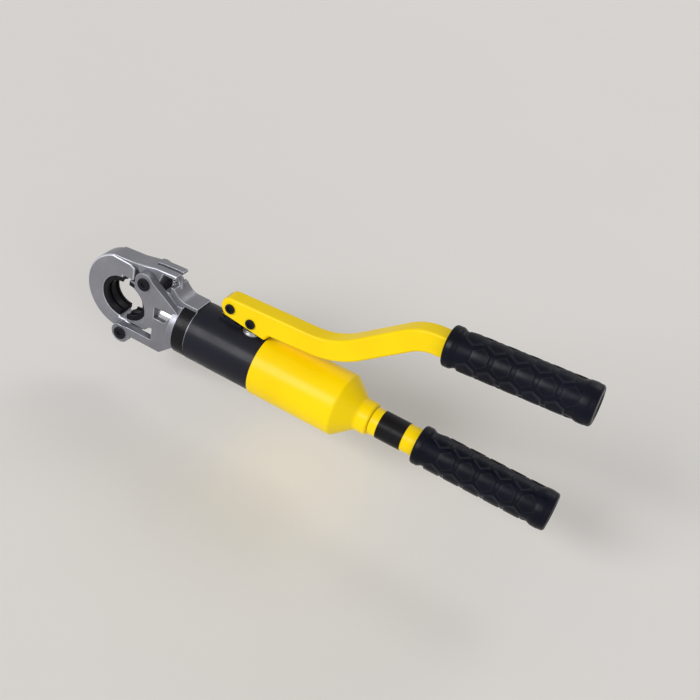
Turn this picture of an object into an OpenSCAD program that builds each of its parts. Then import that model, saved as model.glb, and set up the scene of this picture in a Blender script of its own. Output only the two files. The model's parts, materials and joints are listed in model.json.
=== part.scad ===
// Hydraulic crimping tool with a flip-open head, a pump lever and a twisting handle.
// X runs along the tool from the head to the handles, Y across it, Z up to the lever.
// The origin is the centre of the crimping bore, on the axis of the ram.

/* [Dies and flip jaw] */
// Radius of the crimping bore with the dies closed
bore_r = 16; // [12:0.5:17]
// Outer radius of the dies
die_r = 20.5; // [19.5:0.25:21.5]
// Width of the dies across the tool
die_w = 17; // [14:0.5:17]
// Depth of the two grooves in the bore of a die
die_groove_d = 1.2; // [0.6:0.2:2]
// Thickness of the flip jaw, the die holder and the latch
jaw_t = 18; // [17.5:0.5:20]
// Outer radius of the flip jaw
jaw_r = 38.2; // [37:0.2:39]
// Height of the middle of the flip jaw's outline above the tool axis
jaw_rise = 3; // [2:0.25:4]
// Distance from the bore centre to the free end of the flip jaw
jaw_end_x = 11.5; // [11:0.25:13]
// Thickness of the latch's plate over the flip jaw
plate_t = 3; // [2.5:0.25:3.25]
// Working stroke of the ram
stroke = 7; // [5:0.5:8]

/* [Yoke] */
// Distance of the hinge pin behind the bore centre
hinge_x = 7; // [6:0.25:8]
// Depth of the hinge pin below the dies
hinge_drop = 12; // [11.5:0.25:13]
// Distance of the latch pin behind the bore centre
latch_x = 27.5; // [26:0.25:30]
// Height of the latch pin above the dies
latch_rise = 10.5; // [10:0.25:11.5]
// Radius of the two head pins
head_pin_r = 4.5; // [3.5:0.25:5.5]
// Radius of the knuckles round the head pins
knuckle_r = 9.5; // [8.5:0.25:10]
// Thickness of each cheek
cheek_t = 7.2; // [6:0.2:9]
// Radius of the cut-out that shows the moving die
sight_r = 24; // [23:0.5:25]
// Distance from the bore centre to the front of the ring
ring_x = 66; // [64:0.5:70]
// Width of the strap over the ring
strap_w = 20; // [14:1:22]
// Height of the strap above the ring
strap_h = 1.6; // [1:0.2:3]

/* [Ram and cylinder] */
// Radius of the ram rod
rod_r = 12; // [9:0.5:14]
// Distance from the bore centre to the front of the cylinder tube
tube_x = 80; // [78:0.5:84]
// Length of the cylinder tube
tube_len = 66; // [62:0.5:70]
// Radius of the cylinder tube
tube_r = 26.7; // [26:0.1:27.5]
// Wall of the cylinder tube
tube_wall = 6.7; // [6:0.1:8]
// Length of the piston
piston_len = 12; // [9:0.5:13]

/* [Reservoir housing] */
// Length of the straight part of the housing
housing_len = 83; // [74:0.5:86]
// Height of the housing's step above the cylinder tube
housing_step = 1.3; // [1:0.1:2]
// Wall of the housing
housing_wall = 3; // [2:0.25:4]
// Length of the cone
cone_len = 16; // [12:0.5:18]
// Radius of the collar behind the cone
collar_r = 14.5; // [13.5:0.25:15.5]
// Length of the collar
collar_len = 9.5; // [9:0.5:14]
// Radius of the rounded shoulder of the housing
shoulder_r = 4; // [3:0.5:6]
// Radius of the fillet between the cone and the collar
foot_r = 5; // [3:0.5:6]

/* [Handle] */
// Radius of the handle tube
handle_r = 12; // [11.5:0.25:12.5]
// Length of the bare handle tube in front of its grip
handle_len = 43; // [38:0.5:50]
// Distance from the collar to the label band
label_gap = 8; // [5:0.5:10]
// Width of the label band on the handle tube
label_w = 23; // [16:0.5:26]
// Length of both grips
grip_len = 120; // [110:1:135]
// Radius of both grips at the middle
grip_r = 15.3; // [14.5:0.1:17]
// Height of the grips' collars above the grip
grip_collar_h = 1.4; // [0.6:0.2:2]

/* [Pump lever] */
// Distance from the pump plunger to the fulcrum pin
fulcrum_arm = 20.5; // [20:0.25:22]
// Height of the fulcrum pin above the cylinder tube
fulcrum_z = 16.8; // [16.3:0.1:18.3]
// Distance from the rear end of the cylinder tube to the pump plunger
plunger_back = 15.75; // [15:0.25:17]
// Height of the plunger pin above the cylinder tube
plunger_z = 11.8; // [11.3:0.1:12.8]
// Radius of the pump plunger
plunger_r = 4.5; // [4:0.25:4.75]
// Radius of the lever pins
lever_pin_r = 3.5; // [3:0.25:4]
// Width of the lever
lever_w = 16; // [15.5:0.5:19]
// Height of the lever's section
lever_h = 19.5; // [18:0.5:20.5]
// Wall of the lever's channel
lever_wall = 2.8; // [2.4:0.1:2.9]
// Length of the lever's straight front part
lever_run = 74.5; // [72:0.5:80]
// Length of the lever's sloping part
lever_rise = 48.5; // [44:0.5:54]
// Length of the lever between its upper bend and its grip
lever_neck = 8.5; // [6:0.5:14]
// Radius of the lower bend
low_bend_r = 75; // [60:1:90]
// Radius of the upper bend
high_bend_r = 40; // [30:1:50]

/* [Hidden] */
// Clearance between pieces that move apart
gap = 0.3;
// Running clearance of pins, rods and plungers
run = 0.04;
// Clearance of pieces that stay together
fit = 0.05;
// Overrun of cuts past the faces that they leave
over = 1;

// Slope of the lever's front part, of its sloping part and of its grip, in degrees
front_angle = 2.6;
rise_angle = 38.5;
grip_angle = 4;
// Steps in each bend of the lever, round its nose and in the curves of the housing's cone
bend_steps = 10;
nose_steps = 16;
cone_steps = 6;

// Dies and flip jaw
hinge_z = die_r + hinge_drop;
latch_z = die_r + latch_rise;
seat_r = die_r + fit;
mouth_gap = 1.8;
mouth_z = die_r + mouth_gap;
die_screw_r = 2;
die_screw_sink = 1;
groove_w_share = 0.24;
groove_place_share = 0.27;
jaw_top_r = hinge_z + jaw_rise + jaw_r - plate_t;
jaw_top_angle = -2;
jaw_corner = 5.5;
plate_x = -12.5;
plate_gap = 0.4;
slot_w = jaw_t + 2 * gap;
holder_z = mouth_z - gap;
holder_step = 1;
holder_front = stroke + holder_step;
holder_len = 27;
holder_end = holder_front + holder_len;

// Latch
boss_r = 9;
heel_gap = 2;
heel_x = jaw_end_x + heel_gap;
plate_tip_z = 39.8;
plate_knee = [10, 41.8];
plate_back = [33, 46.8];
tail_x = 54.5;
tail_top_z = 48.3;
tail_h = 4.6;
tail_slot_w = 3.2;
tail_slot_lead = 1;
tail_slot_x = latch_x + tail_slot_lead;

// Yoke
pin_head_r = 6;
pin_head_h = 1.6;
socket_r = 2.8;
socket_d = 1.2;
clip_h = 1;
clip_rim = 1.5;
clip_r = head_pin_r + clip_rim;
clip_groove_d = 0.5;
yoke_w = slot_w + 2 * cheek_t;
arm_lift = 1;
arm_z = hinge_z - arm_lift;
arm_corner_x = 50;
neck_z = 17;
ring_step = 0.7;
ring_r = tube_r - ring_step;
neck_step = 2;
neck_r = ring_r - neck_step;
web_x = 60;
strut_angle = 55;
window_x = 40.5;
window_end = 60;
window_floor_end = 52;
window_z = 1.8;
window_top = 13.7;
sight_slot_end = 40;
sight_slot_top = 10.5;
sight_slot_low = 23;
ear_rise = 1;
floor_x = 46;
seat_x = 45;
seat_z = 30;
hump_x = 51.2;
hump_z = 36.2;
hump_end = 54.2;
hump_foot = 67;
nib_w = tail_slot_w - 2 * gap;
nib_x = 52.2;
nib_end = 55.4;
nib_z = 44.2;
nib_slope = 1.5;
strap_z = ring_r + strap_h;
latch_spring_x = 47.9;
latch_spring_r = 2.3;
latch_wire_r = 0.5;
latch_coils = 5;
latch_spring_h = tail_top_z - tail_h - seat_z - 2 * fit;
spigot_len = 9;
band_t = 0.35;
band_edge = 1;

// Ram and cylinder
tube_end = tube_x + tube_len;
piston_r = tube_r - tube_wall;
spigot_end = tube_x + spigot_len;
seal_w = 3;
seal_h = 2.2;
piston_back = 36;
piston_x = tube_end - piston_back;
block_gap = 1.5;
block_x = piston_x + piston_len + block_gap;
block_seal_x = tube_end - 2 * seal_w;
block_r = piston_r - fit;
nose_r = 14;
nose_len = 24;
block_end = tube_end + nose_len;
return_coils = 4;
return_wire_r = 1.2;
return_coil_r = (rod_r + piston_r) / 2;
return_spring_h = piston_x - spigot_end - fit;
rod_neck_r = 6;
rod_neck_len = 5;

// Pump
plunger_x = tube_end - plunger_back;
fulcrum_pin_z = tube_r + fulcrum_z;
plunger_pin_z = tube_r + plunger_z;
fulcrum_x = plunger_x - fulcrum_arm;
eye_r = 7.2;
gland_r = 7.6;
gland_stem_r = 6.6;
gland_flange_r = 8.6;
gland_flange_h = 2;
gland_depth = 8;
gland_rise = 2.8;
gland_top = tube_r + gland_rise;
gland_sink = 1.2;
gland_flat = tube_r - gland_sink;
eye_play = 1.3;
eye_lead = 0.6;
plunger_pin_x = plunger_x + eye_lead;
plunger_low = 6;
ball_r = 2.4;
valve_r = 3.4;
valve_back = 5;
valve_x = tube_end + valve_back;
plug_len = 5;
relief_r = 4;
relief_len = 12;

// Lever
channel_w = lever_w - 2 * lever_wall;
tongue_w = channel_w - 2 * gap;
channel_len = 44;
channel_nose = 7;
lever_top_wall = 2;
bracket_r = 5.9;
bracket_neck = 4.9;
bracket_foot_h = 2.4;
bracket_foot_edge = 1;
bracket_screw_r = 1.5;
bracket_head_r = 2.4;
bracket_head_h = 1;
bracket_screw_out = bracket_neck + bracket_head_r + gap;
bracket_foot = bracket_screw_out + bracket_head_r + bracket_foot_edge;
bracket_screw_places = [fulcrum_x - bracket_screw_out, fulcrum_x + bracket_screw_out];
stub_r = lever_w / 2 - gap;
stub_short = 12;
stub_len = grip_len - stub_short;
lever_head_r = 4.5;
lever_head_h = 1.6;
cheek_gap = 0.6;
cheek_x = tube_end - cheek_gap;
cheek_rise = 1.9;
cheek_z = tube_r + cheek_rise;
step_slope = 5;
step_x = cheek_x + step_slope;

// Housing and handle
housing_r = tube_r + housing_step;
cone_x = tube_end + housing_len;
collar_x = cone_x + cone_len;
handle_x = collar_x + collar_len;
grip_x = handle_x + handle_len;
spindle_r = 7;
spindle_len = 20;
collar_edge = 1.2;
bore_run = housing_wall + collar_len + collar_edge + 2 * over;
handle_wall = 2.5;
bladder_gap = 4;
bladder_r = housing_r - housing_wall - bladder_gap;
bladder_len = 50;
bladder_end_r = 8;
clamp_w = 5;
clamp_t = 1.6;
grip_collar_w = 9;
grip_end_w = 13;
grip_end_round = 3;
grip_wall_r = handle_r + fit;
grip_end_t = 6;
grip_bore_len = grip_len - grip_end_t;

// Coils: rings in a turn, sides of the wire and the share of a turn that lies flat at each end
coil_rings = 12;
coil_sides = 8;
flat_turn_share = 0.5;

$fn = 64;

// Helpers

// Stands a drawing in X and Z up and gives it a width across the tool
module across(w) {
    rotate([90, 0, 0]) linear_extrude(height = w, center = true) children();
}

// A round bar along the tool, from one place to another
module bar_x(from, to, r) {
    translate([from, 0, 0]) rotate([0, 90, 0]) cylinder(h = to - from, r = r);
}

// A round bar across the tool at a place in X and Z
module bar_y(x, z, from, to, r) {
    translate([x, from, z]) rotate([-90, 0, 0]) cylinder(h = to - from, r = r);
}

// An upright round bar at a place along the tool
module bar_z(x, from, to, r) {
    translate([x, 0, from]) cylinder(h = to - from, r = r);
}

// Turns a drawing of radius and length about the tool axis
module turned() {
    rotate([0, 90, 0]) rotate_extrude() children();
}

// A seal ring round the tool axis
module seal_x(from, w, inner, outer) {
    turned() translate([inner, from]) square([outer - inner, w]);
}

// Points of a coil: turns of a helix between two heights, with half a turn lying flat at each end
function coil_turn(i) = i / coil_rings;
function coil_rise(t, n) = min(max(t - flat_turn_share, 0), n - 1) / (n - 1);
function coil_point(i, n, r, h, wire) =
    let (t = coil_turn(i))
    [r * cos(360 * t), r * sin(360 * t), wire + (h - 2 * wire) * coil_rise(t, n)];
function coil_points(n, r, h, wire) = [
    for (i = [0 : n * coil_rings])
    let (c = coil_point(i, n, r, h, wire), a = 360 * coil_turn(i))
    for (k = [0 : coil_sides - 1])
    let (b = 360 * k / coil_sides)
    [c[0] + wire * cos(b) * cos(a), c[1] + wire * cos(b) * sin(a), c[2] + wire * sin(b)]
];
function tube_faces(rings, sides) = concat(
    [[for (k = [0 : sides - 1]) k]],
    [for (i = [0 : rings - 2], k = [0 : sides - 1], half = [0, 1])
        let (a = i * sides + k, b = i * sides + (k + 1) % sides, c = a + sides, d = b + sides)
        half == 0 ? [a, c, b] : [b, c, d]],
    [[for (k = [sides - 1 : -1 : 0]) (rings - 1) * sides + k]]
);
// Least gap between one turn of a coil and the next
function coil_gap(n, r, h, wire) = min([
    for (i = [0 : (n - 1) * coil_rings])
    norm(coil_point(i + coil_rings, n, r, h, wire) - coil_point(i, n, r, h, wire)) - 2 * wire
]);

module coil(n, r, h, wire) {
    polyhedron(
        points = coil_points(n, r, h, wire),
        faces = tube_faces(n * coil_rings + 1, coil_sides)
    );
}

// Head

// Height of the straight seat under the latch's plate, at a distance from the hinge pin
function seat_height(x, r) = (r + (x - hinge_x) * sin(jaw_top_angle)) / cos(jaw_top_angle) - hinge_z;

// What the flip jaw leaves free under the latch's plate: a straight seat, then a sloping corner
module plate_room() {
    corner_x = jaw_end_x - jaw_corner;
    corner_z = seat_height(corner_x, jaw_top_r);
    polygon([
        [-jaw_r, 2 * jaw_r], [-jaw_r, seat_height(-jaw_r, jaw_top_r)], [corner_x, corner_z],
        [jaw_end_x + jaw_corner, corner_z - jaw_corner], [jaw_end_x + jaw_corner, 2 * jaw_r]
    ]);
}

module jaw_outline() {
    difference() {
        union() {
            intersection() {
                translate([0, jaw_rise]) circle(r = jaw_r, $fn = 128);
                union() {
                    translate([-2 * jaw_r, -2 * jaw_r]) square([2 * jaw_r + hinge_x, 4 * jaw_r]);
                    square([jaw_end_x, 2 * jaw_r]);
                }
            }
            translate([hinge_x, -hinge_z]) circle(r = knuckle_r);
        }
        plate_room();
        circle(r = seat_r);
        translate([0, -mouth_z]) square([jaw_r, 2 * mouth_z]);
        translate([hinge_x, -hinge_z]) circle(r = head_pin_r + run);
    }
}

module flip_jaw() {
    color([0.56, 0.56, 0.58])
    difference() {
        across(jaw_t) jaw_outline();
        bar_x(-jaw_r - over, 0, die_screw_r);
    }
}

// A full ring of die, with two grooves in its bore
module die_ring() {
    groove_w = die_w * groove_w_share;
    groove_y = die_w * groove_place_share;
    rotate([90, 0, 0])
    rotate_extrude()
    difference() {
        translate([bore_r, -die_w / 2]) square([die_r - bore_r, die_w]);
        for (side = [-1, 1])
            translate([0, side * groove_y - groove_w / 2]) square([bore_r + die_groove_d, groove_w]);
    }
}

module half_space(side) {
    translate([side > 0 ? 0 : -2 * die_r, -die_r, -2 * die_r]) cube([2 * die_r, 2 * die_r, 4 * die_r]);
}

module die_screw_hole() {
    bar_x(-die_r - over, -(bore_r + die_r) / 2, die_screw_r - fit);
}

module fixed_die() {
    color([0.10, 0.10, 0.11])
    difference() {
        intersection() {
            die_ring();
            half_space(-1);
        }
        die_screw_hole();
    }
}

module die_screw(from, to) {
    difference() {
        bar_x(from, to, die_screw_r - 2 * fit);
        translate([from - over, 0, 0]) rotate([0, 90, 0])
            cylinder(h = over + die_screw_r, r = die_screw_r / 2, $fn = 6);
    }
}

module fixed_die_screw() {
    color([0.2, 0.2, 0.22]) die_screw(die_screw_sink - jaw_r, -(bore_r + die_r) / 2 - fit);
}

module die_holder() {
    color([0.56, 0.56, 0.58])
    difference() {
        translate([holder_front, -jaw_t / 2, -holder_z]) cube([holder_len, jaw_t, 2 * holder_z]);
        bar_y(stroke, 0, -jaw_t, jaw_t, seat_r);
        bar_x(0, holder_end + over, die_screw_r);
        bar_x(holder_end - rod_neck_len, holder_end + over, rod_neck_r + fit);
        for (side = [-1, 1])
            translate([holder_end, 0, side * holder_z]) rotate([0, 45, 0])
                cube([holder_z - rod_r, jaw_t + over, holder_z - rod_r], center = true);
    }
}

module moving_die() {
    color([0.10, 0.10, 0.11])
    translate([stroke, 0, 0])
    difference() {
        intersection() {
            die_ring();
            half_space(1);
        }
        mirror([1, 0, 0]) die_screw_hole();
    }
}

module moving_die_screw() {
    color([0.2, 0.2, 0.22])
    translate([stroke, 0, 0]) mirror([1, 0, 0])
        die_screw(stroke + rod_neck_len - holder_end + fit, -(bore_r + die_r) / 2 - fit);
}

module cheek_outline() {
    difference() {
        union() {
            for (rise = [0, ear_rise]) translate([latch_x, latch_z + rise]) circle(r = knuckle_r);
            translate([hinge_x, -hinge_z]) circle(r = knuckle_r);
            polygon([
                [latch_x - knuckle_r, latch_z], [latch_x - knuckle_r, 0], [hinge_x, 0],
                [hinge_x, -hinge_z], [hinge_x + knuckle_r, -arm_z], [arm_corner_x, -arm_z],
                [ring_x, -neck_z], [ring_x, neck_z],
                [latch_x + knuckle_r * cos(strut_angle), latch_z + knuckle_r * sin(strut_angle)],
                [latch_x, latch_z]
            ]);
        }
        translate([stroke, 0]) circle(r = sight_r);
        translate([hinge_x, -sight_slot_low])
            square([sight_slot_end - hinge_x, sight_slot_low - sight_slot_top]);
        polygon([
            [window_x, window_z], [window_x, window_top], [window_end, window_top],
            [window_floor_end, window_z]
        ]);
        translate([latch_x, latch_z]) circle(r = head_pin_r + fit);
        translate([hinge_x, -hinge_z]) circle(r = head_pin_r + fit);
    }
}

// Section of the strap, which sweeps up to the hump under the latch's tail
module strap_outline() {
    polygon(concat(
        [[seat_x, neck_z + over], [seat_x, seat_z], [hump_x, seat_z], [hump_x, hump_z]],
        [for (i = [0 : bend_steps])
            let (t = i / bend_steps)
            [hump_end + (hump_foot - hump_end) * t, strap_z + (hump_z - strap_z) * (1 - t) * (1 - t)]],
        [[tube_x, strap_z], [tube_x, neck_z], [web_x, rod_r + over], [web_x, neck_z + over]]
    ));
}

// The nib of the hump, which guides the latch's forked tail
module nib_outline() {
    polygon([[nib_x, seat_z], [nib_x, nib_z], [nib_end, nib_z], [nib_end + nib_slope, seat_z]]);
}

module yoke() {
    color([0.50, 0.50, 0.53])
    difference() {
        union() {
            for (side = [-1, 1])
                translate([0, side * (slot_w + cheek_t) / 2, 0]) across(cheek_t) cheek_outline();
            intersection() {
                across(slot_w + over) polygon([
                    [floor_x, -arm_z], [arm_corner_x, -arm_z], [ring_x, -neck_z],
                    [ring_x, -rod_r], [floor_x, -rod_r - over]
                ]);
                translate([0, -slot_w / 2 - fit, -jaw_r]) cube([ring_x, slot_w + 2 * fit, 2 * jaw_r]);
            }
            bar_x(web_x, ring_x, neck_r);
            bar_x(ring_x, tube_x, ring_r);
            bar_x(tube_x, spigot_end, piston_r - fit);
            across(strap_w) strap_outline();
            across(nib_w) nib_outline();
        }
        bar_x(0, spigot_end + over, rod_r + run);
        bar_x(spigot_end - 2 * seal_w, spigot_end - seal_w, rod_r + seal_h);
    }
}

module ring_label() {
    color([0.08, 0.08, 0.09])
    difference() {
        seal_x(ring_x + band_edge, tube_x - ring_x - 2 * band_edge, ring_r + fit, ring_r + fit + band_t);
        translate([ring_x, -strap_w / 2 - gap, 0]) cube([tube_x - ring_x, strap_w + 2 * gap, 2 * ring_r]);
    }
}

// The hexagon socket in the head of a pin
module pin_socket(x, z, face) {
    translate([x, face - over, z]) rotate([-90, 0, 0]) cylinder(h = over + socket_d, r = socket_r, $fn = 6);
}

// A head pin with its head on the near side and a groove for its clip on the far side
module head_pin(x, z) {
    difference() {
        union() {
            bar_y(x, z, -yoke_w / 2, yoke_w / 2 + 2 * clip_h, head_pin_r);
            bar_y(x, z, -yoke_w / 2 - pin_head_h, -yoke_w / 2, pin_head_r);
        }
        pin_socket(x, z, -yoke_w / 2 - pin_head_h);
        difference() {
            bar_y(x, z, yoke_w / 2, yoke_w / 2 + clip_h, head_pin_r + over);
            bar_y(x, z, yoke_w / 2 - over, yoke_w / 2 + clip_h + over, head_pin_r - clip_groove_d);
        }
    }
}

module clip_ring(x, z, from, pin_r, outer) {
    difference() {
        bar_y(x, z, from, from + clip_h - fit, outer);
        bar_y(x, z, from - over, from + clip_h + over, pin_r + fit);
    }
}

module hinge_pin() {
    color([0.20, 0.20, 0.22]) head_pin(hinge_x, -hinge_z);
}

module hinge_clip() {
    color([0.25, 0.25, 0.27]) clip_ring(hinge_x, -hinge_z, yoke_w / 2, head_pin_r - clip_groove_d, clip_r);
}

module latch_pin() {
    color([0.20, 0.20, 0.22]) head_pin(latch_x, latch_z);
}

module latch_clip() {
    color([0.25, 0.25, 0.27]) clip_ring(latch_x, latch_z, yoke_w / 2, head_pin_r - clip_groove_d, clip_r);
}

module latch_outline() {
    difference() {
        union() {
            translate([latch_x, latch_z]) circle(r = boss_r);
            polygon([
                [latch_x - boss_r, latch_z], [heel_x, seat_height(heel_x, jaw_top_r + plate_gap)],
                [plate_x, seat_height(plate_x, jaw_top_r + plate_gap)],
                [plate_x, plate_tip_z], plate_knee, plate_back,
                [tail_x, tail_top_z], [tail_x, tail_top_z - tail_h / 2],
                [tail_x - tail_h / 2, tail_top_z - tail_h],
                [latch_x + boss_r + tail_h, tail_top_z - tail_h], [latch_x + boss_r, latch_z]
            ]);
        }
        translate([latch_x, latch_z]) circle(r = head_pin_r + run);
    }
}

module latch() {
    color([0.60, 0.60, 0.62])
    difference() {
        across(jaw_t) latch_outline();
        translate([tail_slot_x, -tail_slot_w / 2, latch_z + boss_r])
            cube([tail_x + over - tail_slot_x, tail_slot_w, tail_top_z]);
    }
}

module latch_spring() {
    color([0.7, 0.7, 0.72])
    translate([latch_spring_x, 0, seat_z + fit])
        coil(latch_coils, latch_spring_r, latch_spring_h, latch_wire_r);
}

// Ram and cylinder

module ram_rod() {
    color([0.85, 0.85, 0.87])
    union() {
        bar_x(holder_end + fit, piston_x, rod_r);
        bar_x(holder_end - rod_neck_len + fit, holder_end + fit, rod_neck_r);
        bar_x(piston_x, piston_x + piston_len, rod_neck_r);
    }
}

module piston() {
    color([0.6, 0.6, 0.62])
    difference() {
        bar_x(piston_x + fit, piston_x + piston_len, piston_r - run);
        bar_x(piston_x - over, piston_x + piston_len + over, rod_neck_r + fit);
        seal_x(piston_x + piston_len / 2 - seal_w / 2, seal_w, piston_r - seal_h, piston_r + over);
    }
}

module piston_seal() {
    color([0.1, 0.1, 0.1])
    translate([piston_x + piston_len / 2, 0, 0])
        seal_x(fit - seal_w / 2, seal_w - 2 * fit, piston_r - seal_h + fit, piston_r - run);
}

module return_spring() {
    color([0.7, 0.7, 0.72])
    translate([spigot_end + fit, 0, 0]) rotate([0, 90, 0])
        coil(return_coils, return_coil_r, return_spring_h, return_wire_r);
}

module rod_seal() {
    color([0.1, 0.1, 0.1])
    seal_x(spigot_end - 2 * seal_w + fit, seal_w - 2 * fit, rod_r + run, rod_r + seal_h - fit);
}

module cylinder_tube() {
    color([0.16, 0.17, 0.20])
    difference() {
        bar_x(tube_x + fit, tube_end, tube_r);
        bar_x(tube_x, tube_end + over, piston_r);
        bar_z(plunger_x, 0, 2 * tube_r, gland_stem_r + fit);
        bar_z(plunger_x, gland_flat, 2 * tube_r, gland_flange_r + fit);
        for (x = bracket_screw_places) bar_z(x, piston_r - over, 2 * tube_r, bracket_screw_r);
    }
}

// Pump

module pump_block() {
    color([0.5, 0.5, 0.52])
    difference() {
        union() {
            bar_x(block_x, tube_end, block_r);
            bar_x(tube_end, block_end, nose_r);
        }
        bar_z(plunger_x, -plunger_low - over, 2 * tube_r, plunger_r + run);
        bar_z(plunger_x, tube_r - gland_depth - seal_w, 2 * tube_r, gland_stem_r + fit);
        seal_x(block_seal_x, seal_w, piston_r - seal_h, piston_r + over);
        for (side = [-1, 1]) bar_y(valve_x, side * nose_r / 2, -nose_r - over, 0, valve_r);
        bar_x(block_end - relief_len, block_end + over, relief_r + fit);
    }
}

module block_seal() {
    color([0.1, 0.1, 0.1])
    seal_x(block_seal_x + fit, seal_w - 2 * fit, piston_r - seal_h + fit, piston_r - fit);
}

module gland_nut() {
    color([0.72, 0.72, 0.74])
    difference() {
        union() {
            bar_z(plunger_x, tube_r - gland_depth, gland_flat + fit, gland_stem_r);
            bar_z(plunger_x, gland_flat + fit, gland_flat + gland_flange_h, gland_flange_r);
            bar_z(plunger_x, gland_flat + gland_flange_h, gland_top, gland_r);
        }
        bar_z(plunger_x, 0, 2 * tube_r, plunger_r + run);
    }
}

module plunger_seal() {
    color([0.1, 0.1, 0.1])
    difference() {
        bar_z(plunger_x, tube_r - gland_depth - seal_w + fit, tube_r - gland_depth - fit, gland_stem_r - fit);
        bar_z(plunger_x, 0, 2 * tube_r, plunger_r + run);
    }
}

module pump_plunger() {
    color([0.75, 0.75, 0.77])
    difference() {
        union() {
            bar_z(plunger_x, -plunger_low, plunger_pin_z, plunger_r);
            bar_y(plunger_x, plunger_pin_z, -tongue_w / 2, tongue_w / 2, eye_r);
        }
        translate([plunger_x, 0, plunger_pin_z]) across(lever_w) union() {
            for (side = [-1, 1]) translate([side * eye_play, 0]) circle(r = lever_pin_r + gap);
            translate([-eye_play, -lever_pin_r - gap]) square([2 * eye_play, 2 * (lever_pin_r + gap)]);
        }
    }
}

module inlet_ball() {
    color([0.8, 0.8, 0.82]) translate([valve_x, -nose_r / 2, nose_r / 2]) sphere(r = ball_r);
}

module outlet_ball() {
    color([0.8, 0.8, 0.82]) translate([valve_x, -nose_r / 2, -nose_r / 2]) sphere(r = ball_r);
}

module valve_plugs() {
    color([0.45, 0.45, 0.47])
    for (side = [-1, 1]) translate([0, -nose_r / 2 - ball_r, 0])
        bar_y(valve_x, side * nose_r / 2, -plug_len, -fit, valve_r - fit);
}

module relief_valve() {
    color([0.7, 0.6, 0.3])
    bar_x(block_end - relief_len + fit, block_end, relief_r);
}

// Lever

module fulcrum_bracket() {
    color([0.75, 0.62, 0.05])
    difference() {
        union() {
            bar_y(fulcrum_x, fulcrum_pin_z, -tongue_w / 2, tongue_w / 2, bracket_r);
            translate([fulcrum_x - bracket_neck, -tongue_w / 2, 0])
                cube([2 * bracket_neck, tongue_w, fulcrum_pin_z]);
            translate([fulcrum_x - bracket_foot, -tongue_w / 2, 0])
                cube([2 * bracket_foot, tongue_w, tube_r + bracket_foot_h]);
        }
        bar_x(tube_x, tube_end, tube_r + fit);
        bar_y(fulcrum_x, fulcrum_pin_z, -lever_w, lever_w, lever_pin_r + run);
        for (x = bracket_screw_places) bar_z(x, 0, 2 * tube_r, bracket_screw_r + fit);
    }
}

module bracket_screws() {
    color([0.3, 0.3, 0.32])
    for (x = bracket_screw_places) {
        screw_top = tube_r + bracket_foot_h;
        bar_z(x, piston_r + over, screw_top, bracket_screw_r - fit);
        bar_z(x, screw_top, screw_top + bracket_head_h, bracket_head_r);
    }
}

// Pin through the lever, with a head on the near side
module lever_pin(x, z) {
    difference() {
        union() {
            bar_y(x, z, -lever_w / 2 - fit, lever_w / 2 + 2 * clip_h, lever_pin_r);
            bar_y(x, z, -lever_w / 2 - lever_head_h, -lever_w / 2 - fit, lever_head_r);
        }
        pin_socket(x, z, -lever_w / 2 - lever_head_h);
    }
}

module fulcrum_pin() {
    color([0.12, 0.12, 0.13]) lever_pin(fulcrum_x, fulcrum_pin_z);
}

module plunger_pin() {
    color([0.12, 0.12, 0.13]) lever_pin(plunger_pin_x, plunger_pin_z);
}

module lever_clips() {
    color([0.25, 0.25, 0.27])
    for (place = [[fulcrum_x, fulcrum_pin_z], [plunger_pin_x, plunger_pin_z]])
        clip_ring(place[0], place[1], lever_w / 2 + fit, lever_pin_r, lever_head_r);
}

function turn(a) = [cos(a), sin(a)];
function side(a) = [-sin(a), cos(a)];
// Points of the lever's middle line and its slope there: [x, z, slope]
lever_start = [fulcrum_x, fulcrum_pin_z];
low_bend_start = lever_start + lever_run * turn(front_angle);
function low_bend(a) = low_bend_start + low_bend_r * (side(front_angle) - side(a));
rise_end = low_bend(rise_angle) + lever_rise * turn(rise_angle);
function high_bend(a) = rise_end + high_bend_r * (side(a) - side(rise_angle));
lever_end = high_bend(grip_angle) + lever_neck * turn(grip_angle);
lever_line = concat(
    [[lever_start, front_angle]],
    [for (i = [0 : bend_steps])
        let (a = front_angle + (rise_angle - front_angle) * i / bend_steps) [low_bend(a), a]],
    [for (i = [0 : bend_steps])
        let (a = rise_angle + (grip_angle - rise_angle) * i / bend_steps) [high_bend(a), a]],
    [[lever_end, grip_angle]]
);

// Outline of the lever from the side, with its round nose and the deeper cheeks round the pump
module lever_outline() {
    half = lever_h / 2;
    last = len(lever_line) - 1;
    polygon(concat(
        [for (p = lever_line) p[0] + half * side(p[1])],
        [for (i = [last : -1 : 1]) lever_line[i][0] - half * side(lever_line[i][1])],
        [lever_start + (step_x - fulcrum_x) * turn(front_angle) - half * side(front_angle)],
        [[cheek_x, cheek_z]],
        [for (i = [0 : nose_steps - 1]) lever_start - half * side(front_angle - 180 * i / nose_steps)]
    ));
}

// Places a piece made along +X onto the lever's grip line
module on_grip_line() {
    translate([lever_end[0], 0, lever_end[1]]) rotate([0, -grip_angle, 0]) children();
}

module lever() {
    color([0.98, 0.82, 0.02])
    difference() {
        union() {
            across(lever_w) lever_outline();
            on_grip_line() bar_x(-lever_neck / 2, stub_len, stub_r);
        }
        translate([fulcrum_x, 0, fulcrum_pin_z]) rotate([0, -front_angle, 0])
            translate([-channel_nose, -channel_w / 2, -lever_h])
            cube([channel_len + channel_nose, channel_w, lever_h + lever_h / 2 - lever_top_wall]);
        translate([fulcrum_x - lever_h, -channel_w / 2, fulcrum_pin_z - lever_h])
            cube([lever_h, channel_w, lever_h]);
        bar_y(fulcrum_x, fulcrum_pin_z, -lever_w, lever_w, lever_pin_r + fit);
        bar_y(plunger_pin_x, plunger_pin_z, -lever_w, lever_w, lever_pin_r + fit);
    }
}

// Grips

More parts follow.
